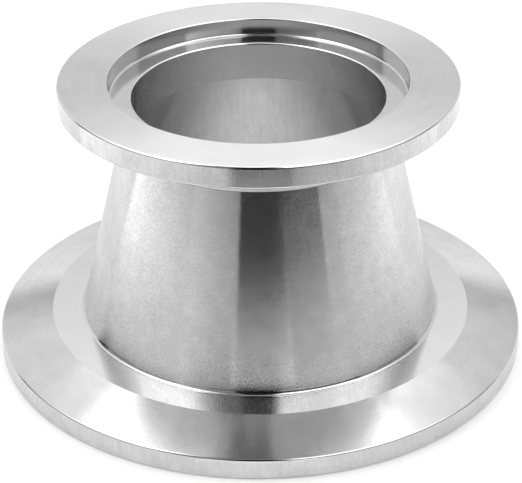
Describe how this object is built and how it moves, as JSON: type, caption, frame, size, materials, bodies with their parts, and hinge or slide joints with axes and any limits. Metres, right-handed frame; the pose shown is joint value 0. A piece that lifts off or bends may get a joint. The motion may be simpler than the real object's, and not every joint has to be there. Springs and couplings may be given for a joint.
{
  "type": "conical reducer",
  "caption": "Conical vacuum reducer: a thin steel cone welded between a large and a small clamp flange, each with a bevelled rim, a flat sealing face and a centring recess.",
  "frame": {"origin": "centre of the large flange's sealing face, on the axis of the bore", "axes": "+Z runs along the bore from the large flange up to the small one; X and Y lie across it, and any turn about Z looks the same"},
  "size_m": [0.075, 0.075, 0.04],
  "materials": {
    "turned_steel": "fine turned stainless steel, bright, with rings around the axis",
    "brushed_steel": "satin stainless steel, brushed around the cone"
  },
  "bodies": {
    "root": {"large_flange": "turned_steel", "cone": "brushed_steel", "small_flange": "turned_steel"}
  },
  "joints": []
}
